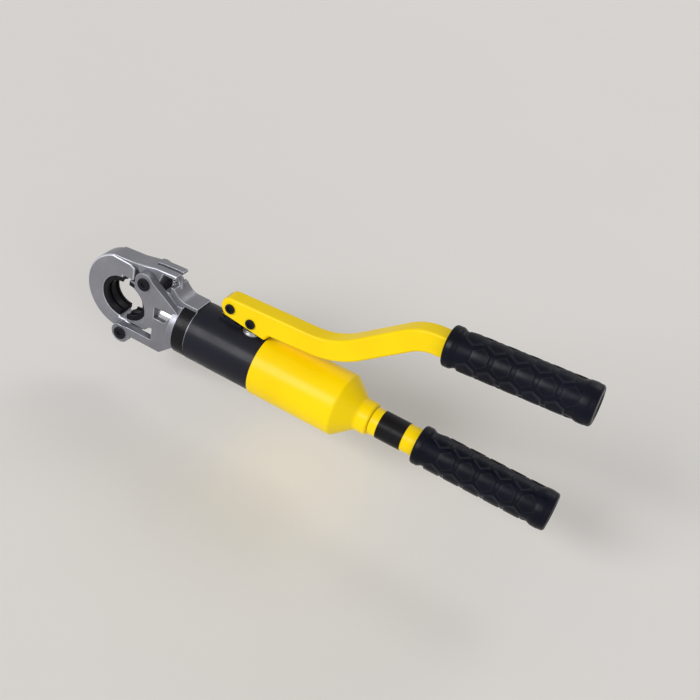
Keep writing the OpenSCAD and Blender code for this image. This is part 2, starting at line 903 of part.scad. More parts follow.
module grip_profile(bore) {
    end_r = grip_r + grip_collar_h;
    difference() {
        union() {
            square([end_r, grip_collar_w]);
            translate([0, grip_collar_w - over]) square([grip_r, grip_len - grip_collar_w]);
            translate([0, grip_len - grip_end_w]) square([end_r, grip_end_w - grip_end_round]);
            translate([0, grip_len - grip_end_round - over])
                square([end_r - grip_end_round, grip_end_round + over]);
            translate([end_r - grip_end_round, grip_len - grip_end_round]) circle(r = grip_end_round);
        }
        translate([0, -over]) square([bore, grip_bore_len + over]);
        translate([-end_r, -over]) square([end_r, grip_len + 2 * over]);
    }
}

module lever_grip() {
    color([0.11, 0.115, 0.16])
    on_grip_line() translate([fit, 0, 0]) turned() grip_profile(stub_r + fit);
}

module handle_grip() {
    color([0.11, 0.115, 0.16])
    translate([grip_x, 0, 0]) turned() grip_profile(grip_wall_r);
}

// Housing and handle

// Half section of the housing: a straight part, the shoulder, the cone, its fillet and a run-out
module housing_profile(r, end_r, inset, run_out) {
    drop = r - end_r;
    reach = shoulder_r + cone_len;
    both = shoulder_r + foot_r;
    line = sqrt((drop - both) * (drop - both) + reach * reach - both * both);
    slope = atan2(drop - both, reach) + atan2(both, line);
    start = housing_len - inset - shoulder_r;
    end = start + reach;
    polygon(concat(
        [[0, 0], [r, 0]],
        [for (i = [0 : cone_steps]) let (a = slope * i / cone_steps)
            [r - shoulder_r + shoulder_r * cos(a), start + shoulder_r * sin(a)]],
        [for (i = [cone_steps : -1 : 0]) let (a = slope * i / cone_steps)
            [end_r + foot_r - foot_r * cos(a), end - foot_r * sin(a)]],
        [[end_r, end + run_out - collar_edge], [end_r - collar_edge, end + run_out], [0, end + run_out]]
    ));
}

module reservoir_housing() {
    color([0.98, 0.82, 0.02])
    difference() {
        translate([tube_end, 0, 0]) turned() housing_profile(housing_r, collar_r, 0, collar_len);
        translate([tube_end - over, 0, 0]) turned()
            housing_profile(housing_r - housing_wall, spindle_r + run, housing_wall, bore_run);
    }
}

module oil_bladder() {
    color([0.15, 0.15, 0.15])
    turned() polygon([
        [nose_r + fit, block_end - nose_len / 2], [nose_r + clamp_t, block_end - nose_len / 2],
        [nose_r + clamp_t, block_end - nose_len / 4], [bladder_r, block_end],
        [bladder_r, block_end - nose_len / 4 + bladder_len - bladder_r / 2],
        [bladder_end_r, block_end - nose_len / 4 + bladder_len],
        [0, block_end - nose_len / 4 + bladder_len], [0, block_end + fit], [nose_r + fit, block_end + fit]
    ]);
}

module bladder_clamp() {
    color([0.7, 0.7, 0.72])
    seal_x(block_end - nose_len / 2, clamp_w, nose_r + clamp_t + fit, nose_r + 2 * clamp_t);
}

module release_spindle() {
    color([0.6, 0.6, 0.62])
    bar_x(handle_x - spindle_len, handle_x + fit + handle_wall, spindle_r);
}

module handle_tube() {
    color([0.98, 0.82, 0.02])
    difference() {
        bar_x(handle_x + gap, grip_x + grip_bore_len - fit, handle_r);
        bar_x(handle_x - over, handle_x + gap + handle_wall, spindle_r + fit);
        bar_x(handle_x + 2 * handle_wall, grip_x + grip_bore_len - handle_wall, handle_r - handle_wall);
    }
}

module handle_label() {
    color([0.08, 0.08, 0.09])
    seal_x(handle_x + label_gap, label_w, handle_r + fit, handle_r + fit + band_t);
}

echo(latch_spring_gap = coil_gap(latch_coils, latch_spring_r, latch_spring_h, latch_wire_r));
echo(return_spring_gap = coil_gap(return_coils, return_coil_r, return_spring_h, return_wire_r));

yoke();
flip_jaw();
fixed_die();
fixed_die_screw();
die_holder();
moving_die();
moving_die_screw();
ram_rod();
piston();
piston_seal();
return_spring();
rod_seal();
hinge_pin();
hinge_clip();
latch();
latch_pin();
latch_clip();
latch_spring();
ring_label();
cylinder_tube();
pump_block();
block_seal();
gland_nut();
plunger_seal();
pump_plunger();
inlet_ball();
outlet_ball();
valve_plugs();
relief_valve();
fulcrum_bracket();
bracket_screws();
fulcrum_pin();
plunger_pin();
lever_clips();
lever();
lever_grip();
reservoir_housing();
oil_bladder();
bladder_clamp();
release_spindle();
handle_tube();
handle_label();
handle_grip();
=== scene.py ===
"""Looks of a hand pumped hydraulic crimping tool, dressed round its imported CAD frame."""

import json
import math

import bmesh
import bpy
from mathutils import Matrix, Vector


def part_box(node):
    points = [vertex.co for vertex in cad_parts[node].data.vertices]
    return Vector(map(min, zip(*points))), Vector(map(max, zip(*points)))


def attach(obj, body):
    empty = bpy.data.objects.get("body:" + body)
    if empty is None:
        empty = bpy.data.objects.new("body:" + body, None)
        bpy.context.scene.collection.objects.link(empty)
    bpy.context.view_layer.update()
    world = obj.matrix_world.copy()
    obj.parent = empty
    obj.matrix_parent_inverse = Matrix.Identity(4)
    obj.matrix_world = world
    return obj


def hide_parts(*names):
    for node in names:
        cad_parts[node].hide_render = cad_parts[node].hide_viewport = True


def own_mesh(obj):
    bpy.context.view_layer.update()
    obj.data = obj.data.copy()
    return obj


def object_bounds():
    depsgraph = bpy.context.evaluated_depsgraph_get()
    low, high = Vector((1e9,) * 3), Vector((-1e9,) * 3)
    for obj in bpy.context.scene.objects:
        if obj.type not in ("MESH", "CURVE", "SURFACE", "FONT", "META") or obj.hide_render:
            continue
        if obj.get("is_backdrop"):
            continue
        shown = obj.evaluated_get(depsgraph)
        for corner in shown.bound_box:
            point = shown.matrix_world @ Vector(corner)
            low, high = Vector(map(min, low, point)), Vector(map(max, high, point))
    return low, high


bl_info = {
    "name": "Hydraulic crimping tool",
    "version": (1, 0, 0),
    "blender": (4, 5, 0),
    "location": "View3D > Sidebar > Crimping tool",
    "description": "Dresses the CAD frame of a hand pumped crimping tool",
    "category": "Add Mesh",
}

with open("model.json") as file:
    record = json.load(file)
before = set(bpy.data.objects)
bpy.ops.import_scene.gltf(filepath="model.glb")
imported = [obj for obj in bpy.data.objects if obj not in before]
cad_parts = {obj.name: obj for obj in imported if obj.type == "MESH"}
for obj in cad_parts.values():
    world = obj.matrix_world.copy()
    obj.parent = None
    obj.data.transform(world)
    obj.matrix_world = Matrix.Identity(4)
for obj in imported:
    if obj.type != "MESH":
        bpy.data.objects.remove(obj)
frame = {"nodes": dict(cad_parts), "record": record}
CAD_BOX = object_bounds()
RECORD = frame["record"]
BODY_OF = {node: body for body, nodes in RECORD["behaviour"]["bodies"].items() for node in nodes}
SLOT_OF = {part["node"]: part["material_slot"] for part in RECORD["subparts"]}

# Places of the fixed die's bore and of the pins, as x and z in metres
DIE_CENTRE = Vector((0, 0))
HINGE_PIN = Vector((0.007, -0.0325))
LATCH_PIN = Vector((0.0275, 0.031))
FULCRUM_PIN = Vector((0.10975, 0.0435))
PLUNGER_PIN = Vector((0.13085, 0.0385))

# Reach round those places within which an edge belongs to the bore or the seat there
HEAD_BORE = 0.0055
LEVER_BORE = 0.0062
DIE_SEAT = 0.0215

# The latch's plate: where its underside begins and how high that reaches, and where its tip begins
PLATE_FRONT_X = 0.014
PLATE_UNDER_Z = 0.0396
PLATE_TIP_X = 0.012

# Shares of a piece's bevel width
FINE_EDGE = 0.25
PLATE_TIP_EDGE = 0.35
LEVER_INNER_EDGE = 0.15

# Edges are broken from the first angle on, faces joined up to the second and corners up to the distance
SHARP = math.radians(32)
FLAT = math.radians(0.4)
WELD = 2e-6
SIDE_SLACK = 0.0001

# Joint, axis, fixed end and shortening of each spring
SPRINGS = {
    "return_spring": ("ram_slide", Vector((1, 0, 0)), (0.089, 0, 0), 0.0070),
    "latch_spring": ("latch_press", Vector((0, 0, 1)), (0.0479, 0, 0.030), 0.0054),
}

# Front end, tilt in degrees and inner radius of each grip
GRIPS = {
    "handle_grip": ((0.2975, 0, 0), 0, 0.0120),
    "lever_grip": ((0.296004, 0, 0.102490), -4, 0.0077),
}
GRIP_LENGTH = 0.120
GRIP_STEPS = 96
RIM_HEIGHT = 0.0018
PAD_TOP_SHARE = 0.85
PAD_SINK = 0.0002

# Place, spread in degrees and strength of each lamp
LAMPS = {
    "key": ((-0.55, -1.45, 0.95), 28, 1.9),
    "fill": ((1.3, -1.0, 0.8), 35, 0.55),
    "back": ((0.3, 1.3, 1.2), 26, 0.4),
}
LAMP_TARGET = Vector((0.20, 0, 0.02))
SKY_COLOUR = (1, 0.985, 0.965, 1)
CAMERA_TARGET = Vector((0.219389, 0, 0.055104))
SENSOR_WIDTH = 36
FLOOR_REACH = 20


# Settings


def screen(red, green, blue):
    """The linear colour of one that a screen shows as 0 to 255."""
    return tuple(((c / 255 + 0.055) / 1.055) ** 2.4 for c in (red, green, blue))


def colour_setting(name, description, default):
    return bpy.props.FloatVectorProperty(
        name=name, description=description, subtype="COLOR", size=3, min=0, max=1, default=default)


def length_setting(name, description, default, **limits):
    return bpy.props.FloatProperty(
        name=name, description=description, unit="LENGTH", default=default, **limits)


def number_setting(name, description, default, **limits):
    return bpy.props.FloatProperty(name=name, description=description, default=default, **limits)


class FinishSettings(bpy.types.PropertyGroup):
    """Colours of the tool's finishes."""

    yellow: colour_setting(
        "Yellow paint", "Gloss paint of the lever, reservoir and handle", screen(255, 217, 0))
    tube: colour_setting("Black paint", "Semi-gloss paint of the cylinder", screen(27, 28, 38))
    head: colour_setting(
        "Head steel", "Satin steel of the jaw, the latch and the die holder", screen(143, 144, 152))
    yoke: colour_setting("Yoke steel", "Satin steel of the yoke", screen(135, 136, 144))
    rubber: colour_setting("Grip rubber", "Rubber of both grips", screen(11, 13, 25))
    oxide: colour_setting(
        "Black oxide", "Finish of the dies and of the pin heads", screen(15, 16, 23))


class EdgeSettings(bpy.types.PropertyGroup):
    """Sizes of the broken edges."""

    head: length_setting(
        "Head edges", "Bevel on the edges of the head", 0.0011, min=0.0002, max=0.002)
    lever: length_setting(
        "Lever edges", "Rounding of the lever's long edges", 0.0023, min=0.0005, max=0.003)
    small: length_setting(
        "Small edges", "Bevel on pins, dies and rims", 0.0004, min=0.0001, max=0.001)


class GripSettings(bpy.types.PropertyGroup):
    """Sizes of the raised pads on the grips."""

    along: bpy.props.IntProperty(
        name="Pads along", description="Pads in one row along a grip", default=5, min=2, max=9)
    rows: bpy.props.IntProperty(
        name="Rows", description="Rows of pads round a grip", default=6, min=4, max=12)
    spacing: length_setting("Spacing", "Distance between pads along a grip", 0.0180)
    pad: length_setting("Pad radius", "Radius of a pad over its corners", 0.0090)
    height: length_setting("Pad height", "Height of a pad above the grip", 0.0015)
    radius: length_setting("Grip radius", "Radius of a grip between its pads", 0.0151)
    start: length_setting("First pad", "Distance of the first pad from the grip's front", 0.0198)


class StageSettings(bpy.types.PropertyGroup):
    """The camera, the floor and the light from the sky."""

    azimuth: number_setting("Azimuth", "Camera's turn round the tool, in degrees", 19.888)
    elevation: number_setting("Elevation", "Camera's height above the horizon, in degrees", 36.367)
    roll: number_setting("Roll", "Camera's turn about its view, in degrees", 14.501)
    distance: length_setting("Distance", "Camera's distance from its target", 0.833046)
    lens: number_setting("Lens", "Focal length on a 36 mm frame, in millimetres", 52.974)
    drop: length_setting("Floor drop", "Room under the tool for the flip jaw to swing open", 0.0430)
    sky_light: number_setting("Sky light", "Strength of the light from all round", 0.27, min=0)
    sky_seen: number_setting(
        "Sky seen", "Strength of the sky where it is seen or mirrored", 0.64, min=0, max=1)
    floor: colour_setting("Floor", "Colour of the floor", (0.90, 0.88, 0.85))


# Materials


class Finish:
    """A material's node tree, with short calls for the nodes that the finishes share."""

    def __init__(self, name):
        self.material = bpy.data.materials.new(name)
        self.material.use_nodes = True
        self.nodes = self.material.node_tree.nodes
        self.links = self.material.node_tree.links
        self.nodes.clear()
        self.shader = self.nodes.new("ShaderNodeBsdfPrincipled")
        output = self.nodes.new("ShaderNodeOutputMaterial")
        self.links.new(self.shader.outputs["BSDF"], output.inputs["Surface"])
        self.place = self.nodes.new("ShaderNodeTexCoord").outputs["Object"]

    def put(self, value, socket):
        """Links an output to a socket, or sets the socket to a plain value."""
        if isinstance(value, bpy.types.NodeSocket):
            self.links.new(value, socket)
        elif isinstance(value, (tuple, list)) and len(value) == 3 and socket.type == "RGBA":
            socket.default_value = (*value, 1)
        else:
            socket.default_value = value

    def set(self, **values):
        """Sets sockets of the shader by their names, with _ for a space."""
        for name, value in values.items():
            self.put(value, self.shader.inputs[name.replace("_", " ")])

    def noise(self, scale, detail=3.0, stretch=(1, 1, 1), rough=0.5):
        """Noise over the object, drawn out where stretch is below 1."""
        mapping = self.nodes.new("ShaderNodeMapping")
        mapping.inputs["Scale"].default_value = stretch
        self.links.new(self.place, mapping.inputs["Vector"])
        node = self.nodes.new("ShaderNodeTexNoise")
        node.inputs["Scale"].default_value = scale
        node.inputs["Detail"].default_value = detail
        node.inputs["Roughness"].default_value = rough
        self.links.new(mapping.outputs["Vector"], node.inputs["Vector"])
        return node.outputs["Fac"]

    def span(self, value, low, high, out_low=0.0, out_high=1.0):
        """A value's span from low to high, laid out over another span."""
        node = self.nodes.new("ShaderNodeMapRange")
        node.inputs["From Min"].default_value = low
        node.inputs["From Max"].default_value = high
        node.inputs["To Min"].default_value = out_low
        node.inputs["To Max"].default_value = out_high
        self.links.new(value, node.inputs["Value"])
        return node.outputs["Result"]

    def mix(self, share, first, second):
        """A mix of two colours, whose sockets share their names with other kinds of value."""
        node = self.nodes.new("ShaderNodeMix")
        node.data_type = "RGBA"
        self.put(share, node.inputs[0])
        self.put(first, node.inputs[6])
        self.put(second, node.inputs[7])
        return node.outputs[2]

    def bump(self, height, strength, depth, under=None):
        """A bump, over another one if that is given."""
        node = self.nodes.new("ShaderNodeBump")
        node.inputs["Strength"].default_value = strength
        node.inputs["Distance"].default_value = depth
        self.links.new(height, node.inputs["Height"])
        if under is not None:
            self.links.new(under, node.inputs["Normal"])
        return node.outputs["Normal"]

    def wear_and_glint_edge(self, low, high):
        """A share that rises to 1 on edges that stand out."""
        geometry = self.nodes.new("ShaderNodeNewGeometry")
        return self.span(geometry.outputs["Pointiness"], low, high)

    def clouds(self, noise, low, high, dark, light):
        """A colour that drifts between two tones."""
        return self.mix(self.span(noise, low, high), dark, light)

    def sheen(self, scale, detail, low, high):
        """Roughness that drifts between two values."""
        self.set(Roughness=self.span(self.noise(scale, detail), 0.3, 0.7, low, high))


def tone(colour, share):
    """A colour made lighter or darker."""
    return tuple(min(1.0, c * share) for c in colour)


def painted(name, colour, roughness, peel, coat):
    """Sprayed paint: slight cloudiness, an orange-peel skin and a few dull scuffs."""
    f = Finish(name)
    base = f.clouds(f.noise(14, 3), 0.35, 0.65, tone(colour, 0.93), tone(colour, 1.04))
    scuff = f.span(f.noise(160, 6, (1, 1, 2.5), 0.7), 0.66, 0.74, 0, 0.35)
    f.set(Base_Color=f.mix(scuff, base, tone(colour, 0.72)))
    f.sheen(60, 5, roughness - 0.05, roughness + 0.08)
    f.set(Coat_Weight=coat, Coat_Roughness=0.14, Specular_IOR_Level=0.13)
    f.set(Normal=f.bump(f.noise(620, 2), peel, 0.00025))
    return f.material


def satin_steel(name, colour, roughness, metal, grain):
    """Machined and blasted steel: fine grain and faint cutter lines."""
    f = Finish(name)
    base = f.clouds(f.noise(36, 4), 0.3, 0.7, tone(colour, 0.86), tone(colour, 1.08))
    lines = f.noise(420, 2, (1, 0.05, 0.35))
    base = f.mix(f.span(lines, 0.42, 0.6, 0, 0.25), base, tone(colour, 0.8))
    f.set(Base_Color=base, Metallic=metal)
    f.sheen(90, 5, roughness - 0.07, roughness + 0.09)
    grainy = f.bump(f.noise(1500, 3), grain, 0.00015)
    f.set(Normal=f.bump(lines, grain * 0.6, 0.0001, grainy))
    return f.material


def oxide(name, colour, roughness):
    """Black oxide: oily and a little brown in the light."""
    f = Finish(name)
    warm = (colour[0] * 1.25, colour[1] * 1.1, colour[2] * 0.95)
    f.set(Base_Color=f.clouds(f.noise(70, 4), 0.35, 0.7, colour, warm))
    f.set(Metallic=0.1, Specular_IOR_Level=0.14)
    f.sheen(140, 5, roughness - 0.08, roughness + 0.1)
    f.set(Normal=f.bump(f.noise(900, 3), 0.12, 0.0002))
    return f.material


def polished(name, colour, roughness):
    """Plated or drawn metal with faint turning lines round it."""
    f = Finish(name)
    lines = f.noise(700, 2, (1, 0.04, 0.04))
    f.set(Base_Color=f.clouds(lines, 0.4, 0.6, tone(colour, 0.93), tone(colour, 1.04)))
    f.set(Metallic=1.0)
    f.sheen(200, 4, roughness, roughness + 0.08)
    f.set(Normal=f.bump(lines, 0.05, 0.0001))
    return f.material


def rubber(name, colour, roughness, grain):
    """Moulded rubber: a fine skin, and a painted highlight that makes edges which stand out greyer."""
    f = Finish(name)
    base = f.clouds(f.noise(30, 4), 0.35, 0.7, tone(colour, 0.85), tone(colour, 1.2))
    # Painted highlight: edges that stand out, such as those of the pads, are mixed towards grey as if
    # they caught glints of light.
    f.set(Base_Color=f.mix(f.wear_and_glint_edge(0.53, 0.66), base, screen(50, 51, 58)))
    f.sheen(110, 5, roughness - 0.08, roughness + 0.08)
    f.set(Specular_IOR_Level=0.11)
    f.set(Normal=f.bump(f.noise(1700, 3), grain, 0.00015))
    return f.material


def film(name, colour):
    """A bare label film with a soft sheen."""
    f = Finish(name)
    f.set(Base_Color=f.clouds(f.noise(40, 3), 0.35, 0.65, tone(colour, 0.8), tone(colour, 1.25)))
    f.sheen(260, 5, 0.24, 0.4)
    f.set(Specular_IOR_Level=0.10)
    f.set(Normal=f.bump(f.noise(330, 2), 0.03, 0.0002))
    return f.material


FINISHES = {}


def make_finishes():
    """One material for each of the record's slots, and two lighter ones for edges: a painted highlight
    on the head's bevels, and worn oxide with a painted highlight on the others.
    """
    s = bpy.context.scene.crimper_finish
    head, black = tuple(s.head), tuple(s.oxide)
    FINISHES.update({
        "head_steel": satin_steel("satin_head_steel", head, 0.42, 0.6, 0.16),
        "yoke_steel": satin_steel("satin_yoke_steel", tuple(s.yoke), 0.42, 0.6, 0.18),
        "die_black": oxide("die_black_oxide", black, 0.42),
        "dark_steel": oxide("pin_black_oxide", tone(black, 1.2), 0.38),
        "chrome_rod": polished("hard_chrome", (0.46, 0.46, 0.48), 0.26),
        "inner_steel": polished("turned_steel", (0.56, 0.56, 0.58), 0.28),
        "spring_steel": polished("spring_wire", (0.45, 0.45, 0.48), 0.3),
        "tube_black": painted("semi_gloss_black", tuple(s.tube), 0.36, 0.10, 0.05),
        "yellow_paint": painted("gloss_yellow", tuple(s.yellow), 0.33, 0.07, 0.07),
        "label_black": film("bare_label_film", screen(22, 21, 24)),
        "seal_rubber": rubber("seal_rubber", screen(30, 30, 31), 0.62, 0.08),
        "grip_rubber": rubber("grip_rubber", tuple(s.rubber), 0.34, 0.12),
        "brass": polished("turned_brass", (0.72, 0.55, 0.22), 0.25),
        # Painted highlight: the head's bevels are 2.4 times lighter than its steel, as if they caught
        # the light.
        "painted_highlight_edge": satin_steel("painted_highlight_head_edge", tone(head, 2.4), 0.34, 0.5, 0.06),
        # Worn oxide with a painted highlight: the bevels of the dies and pins are four times lighter
        # than the oxide.
        "wear_and_glint_edge": oxide("worn_and_glinting_oxide_edge", tone(black, 4.0), 0.36),
    })


# Meshes


def new_piece(name, mesh, node, smooth=32):
    """Puts a mesh in the scene as a piece of a node, on the node's body and in its finish."""
    mesh.name = name
    if not mesh.materials:
        mesh.materials.append(FINISHES[SLOT_OF[node]])
    mesh.shade_smooth()
    mesh.set_sharp_from_angle(angle=math.radians(smooth))
    piece = bpy.data.objects.new(name, mesh)
    bpy.context.scene.collection.objects.link(piece)
    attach(piece, BODY_OF[node])
    return piece


def drawn(name, made):
    """The mesh of a bmesh, which is then freed."""
    mesh = bpy.data.meshes.new(name)
    made.to_mesh(mesh)
    made.free()
    return mesh


def shell_of(name, mesh):
    """An object to carry modifiers until its mesh is baked."""
    shell = bpy.data.objects.new(name, mesh)
    bpy.context.scene.collection.objects.link(shell)
    return shell


def baked(shell):
    """The plain mesh of an object with its modifiers, which is then removed."""
    bpy.context.view_layer.update()
    depsgraph = bpy.context.evaluated_depsgraph_get()
    mesh = bpy.data.meshes.new_from_object(shell.evaluated_get(depsgraph))
    bpy.data.objects.remove(shell)
    return mesh


def welded(node):
    """A CAD node's mesh with its faces joined at shared corners and without walls inside it."""
    made = bmesh.new()
    made.from_mesh(frame["nodes"][node].data)
    at_place = {}
    for face in made.faces:
        corners = frozenset(tuple(round(c * 1e6) for c in v.co) for v in face.verts)
        at_place.setdefault(corners, []).append(face)
    walls = [face for faces in at_place.values() if len(faces) > 1 for face in faces]
    bmesh.ops.delete(made, geom=walls, context="FACES")
    bmesh.ops.remove_doubles(made, verts=made.verts, dist=WELD)
    return made


def is_sharp(line):
    """Whether an edge stands out and is sharp enough to be broken."""
    return line.is_manifold and line.calc_face_angle_signed(0.0) > SHARP


def softened(node, width, segments=2, weigh=None, edge=None, clamp=True):
    """Replaces a CAD node by a copy with broken edges, in a finish of their own if one is given."""
    made = welded(node)
    bmesh.ops.dissolve_limit(
        made, angle_limit=FLAT, verts=made.verts, edges=made.edges, use_dissolve_boundaries=False)
    layer = made.edges.layers.float.new("bevel_weight_edge")
    for line in made.edges:
        line[layer] = (weigh(line) if weigh else 1.0) if is_sharp(line) else 0.0
    mesh = drawn(node, made)
    shell = shell_of(node + "_shell", mesh)
    bevel = shell.modifiers.new("edges", "BEVEL")
    bevel.limit_method = "WEIGHT"
    bevel.offset_type = "OFFSET"
    bevel.width = width
    bevel.segments = segments
    bevel.use_clamp_overlap = clamp
    bevel.miter_outer = "MITER_ARC"
    mesh.materials.append(FINISHES[SLOT_OF[node]])
    if edge:
        mesh.materials.append(FINISHES[edge])
        bevel.material = 1
    piece = new_piece(node + "_finished", baked(shell), node, smooth=50)
    normals = piece.modifiers.new("flat_faces", "WEIGHTED_NORMAL")
    normals.keep_sharp = True
    normals.weight = 80
    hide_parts(node)


def within(line, centre, reach):
    """Whether both ends of an edge lie within reach of a place, seen along Y."""
    return all((Vector((v.co.x, v.co.z)) - centre).length < reach for v in line.verts)


def head_edges(node):
    """Shares of the bevel on a piece of the head.

    It leaves out the bores and the latch's underside, and is fine off the side faces.
    """
    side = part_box(node)[1][1] - SIDE_SLACK
    latch = node == "latch"

    def weigh(line):
        ends = [v.co for v in line.verts]
        if any(within(line, pin, HEAD_BORE) for pin in (HINGE_PIN, LATCH_PIN)):
            return 0.0
        if latch and all(v.x < PLATE_FRONT_X and v.z < PLATE_UNDER_Z for v in ends):
            return 0.0
        off_side = node == "yoke" or any(abs(v.y) < side for v in ends)
        if off_side or within(line, DIE_CENTRE, DIE_SEAT):
            return FINE_EDGE
        return PLATE_TIP_EDGE if latch and all(v.x < PLATE_TIP_X for v in ends) else 1.0

    return weigh


def lever_edges():
    """Shares of the bevel on the lever: full along its sides, and none at the bores."""
    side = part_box("lever")[1][1] - SIDE_SLACK

    def weigh(line):
        if any(within(line, pin, LEVER_BORE) for pin in (FULCRUM_PIN, PLUNGER_PIN)):
            return 0.0
        return 1.0 if all(abs(v.co.y) > side for v in line.verts) else LEVER_INNER_EDGE

    return weigh


def spring(node, joint, axis, fixed_end, travel):
    """Replaces a coil spring by a copy of its welded mesh, which keeps its length."""
    piece = new_piece(node + "_coil", drawn(node, welded(node)), node)
    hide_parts(node)
    low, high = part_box(node)
    length = (Vector(high) - Vector(low)).dot(axis)
    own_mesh(piece)
    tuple(axis)
    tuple(fixed_end)


def left_as_is(*nodes):
    """CAD nodes whose shape is right get their finish."""
    for node in nodes:
        slots = frame["nodes"][node].data.materials
        slots.clear()
        slots.append(FINISHES[SLOT_OF[node]])


# Grips


def turned(profile, steps):
    """A closed mesh turned about X from (x, radius) points that start and end on the axis."""
    made = bmesh.new()
    turn = [2 * math.pi * i / steps for i in range(steps)]
    rings = []
    for x, r in profile:
        if r <= 0:
            rings.append([made.verts.new((x, 0, 0))])
        else:
            rings.append([made.verts.new((x, r * math.sin(a), r * math.cos(a))) for a in turn])
    for low, high in zip(rings, rings[1:]):
        for i in range(steps):
            j = (i + 1) % steps
            corners = [low[i % len(low)], low[j % len(low)], high[j % len(high)], high[i % len(high)]]
            corners = [v for k, v in enumerate(corners) if v not in corners[:k]]
            if len(corners) > 2:
                made.faces.new(corners)
    bmesh.ops.recalc_face_normals(made, faces=made.faces)
    return drawn("turned", made)


def eased(start, end, steps):
    """Points of a soft S-shaped passage from one (x, radius) to another."""
    points = []
    for i in range(steps + 1):
        t = i / steps
        soft = t * t * (3 - 2 * t)
        points.append((start[0] + (end[0] - start[0]) * t, start[1] + (end[1] - start[1]) * soft))
    return points


def rounded(centre, radius, first, last, steps):
    """Points on an arc of (x, radius), by angles in degrees from the tool's axis."""
    angles = [math.radians(first + (last - first) * i / steps) for i in range(steps + 1)]
    return [(centre[0] + radius * math.cos(a), centre[1] + radius * math.sin(a)) for a in angles]


def grip_profile(length, inner):
    """Half section of a grip: front collar, waist, rear bulge and end face."""
    waist = bpy.context.scene.crimper_grip.radius
    full = waist + RIM_HEIGHT
    front_round, end_round = 0.0022, 0.0028
    points = [(0.0, 0.0), (0.0, inner), (0.0, full - front_round)]
    points += rounded((front_round, full - front_round), front_round, 180, 90, 6)
    points += [(0.0050, full)]
    points += eased((0.0060, full), (0.0105, waist), 8)
    points += eased((length - 0.0170, waist), (length - 0.0105, full - 0.0001), 8)
    points += [(length - 0.0080, full)]
    points += eased((length - 0.0065, full), (length - 0.0035, full - 0.0004), 4)
    points += rounded((length - end_round, full - 0.0032), end_round, 90, 0, 6)
    points += [(length, full - 0.0062)]
    points += [(length - 0.0007, full - 0.0070), (length - 0.0007, 0.0)]
    return points


# The inputs of the pads' nodes, with their kinds and the settings that they take
PAD_INPUTS = {
    "Pads along": ("Int", "along"), "Rows": ("Int", "rows"), "Spacing": ("Float", "spacing"),
    "Pad radius": ("Float", "pad"), "Pad height": ("Float", "height"),
    "Grip radius": ("Float", "radius"), "First pad": ("Float", "start"),
    "Finish": ("Material", None),
}


def pad_tree():
    """Geometry nodes that lay staggered hexagon pads flat and wrap them round the X axis."""
    tree = bpy.data.node_groups.new("grip_pads", "GeometryNodeTree")
    face = tree.interface
    face.new_socket("Geometry", in_out="OUTPUT", socket_type="NodeSocketGeometry")
    for label, (kind, _) in PAD_INPUTS.items():
        face.new_socket(label, in_out="INPUT", socket_type="NodeSocket" + kind)
    given = tree.nodes.new("NodeGroupInput").outputs
    link = tree.links.new

    def put(value, socket):
        if isinstance(value, bpy.types.NodeSocket):
            link(value, socket)
        else:
            socket.default_value = value

    def calc(operation, first, second=0.0):
        node = tree.nodes.new("ShaderNodeMath")
        node.operation = operation
        put(first, node.inputs[0])
        put(second, node.inputs[1])
        return node.outputs[0]

    def point(x, y, z):
        node = tree.nodes.new("ShaderNodeCombineXYZ")
        for value, socket in zip((x, y, z), node.inputs):
            put(value, socket)
        return node.outputs[0]

    # Staggered rows of points, laid flat
    index = tree.nodes.new("GeometryNodeInputIndex").outputs[0]
    row = calc("FLOOR", calc("DIVIDE", index, given["Pads along"]))
    column = calc("MODULO", index, given["Pads along"])
    shift = calc("MULTIPLY", calc("MODULO", row, 2.0), 0.5)
    along = calc("MULTIPLY", calc("ADD", column, shift), given["Spacing"])
    girth = calc("MULTIPLY", given["Grip radius"], 2 * math.pi)
    round_by = calc("MULTIPLY", row, calc("DIVIDE", girth, given["Rows"]))
    points = tree.nodes.new("GeometryNodePoints")
    link(calc("MULTIPLY", given["Pads along"], given["Rows"]), points.inputs["Count"])
    link(point(calc("ADD", along, given["First pad"]), round_by, 0.0), points.inputs["Position"])

    # A hexagon pad on each point
    pad = tree.nodes.new("GeometryNodeMeshCone")
    pad.fill_type = "TRIANGLE_FAN"
    pad.inputs["Vertices"].default_value = 6
    pad.inputs["Fill Segments"].default_value = 3
    pad.inputs["Side Segments"].default_value = 1
    link(calc("MULTIPLY", given["Pad radius"], PAD_TOP_SHARE), pad.inputs["Radius Top"])
    link(given["Pad radius"], pad.inputs["Radius Bottom"])
    link(given["Pad height"], pad.inputs["Depth"])
    finer = tree.nodes.new("GeometryNodeSubdivideMesh")
    finer.inputs["Level"].default_value = 1
    link(pad.outputs["Mesh"], finer.inputs["Mesh"])
    laid = tree.nodes.new("GeometryNodeInstanceOnPoints")
    link(points.outputs[0], laid.inputs["Points"])
    link(finer.outputs[0], laid.inputs["Instance"])
    laid.inputs["Rotation"].default_value = (0, 0, math.radians(90))
    real = tree.nodes.new("GeometryNodeRealizeInstances")
    link(laid.outputs[0], real.inputs[0])

    # Wrapped round the axis
    flat = tree.nodes.new("ShaderNodeSeparateXYZ")
    link(tree.nodes.new("GeometryNodeInputPosition").outputs[0], flat.inputs[0])
    angle = calc("DIVIDE", flat.outputs[1], given["Grip radius"])
    reach = calc("ADD", flat.outputs[2], calc("SUBTRACT", given["Grip radius"], PAD_SINK))
    wrap = tree.nodes.new("GeometryNodeSetPosition")
    link(real.outputs[0], wrap.inputs["Geometry"])
    wrapped = point(
        flat.outputs[0], calc("MULTIPLY", reach, calc("SINE", angle)),
        calc("MULTIPLY", reach, calc("COSINE", angle)))
    link(wrapped, wrap.inputs["Position"])
    dressed = tree.nodes.new("GeometryNodeSetMaterial")
    link(wrap.outputs[0], dressed.inputs["Geometry"])
    link(given["Finish"], dressed.inputs["Material"])
    link(dressed.outputs[0], tree.nodes.new("NodeGroupOutput").inputs[0])
    return tree


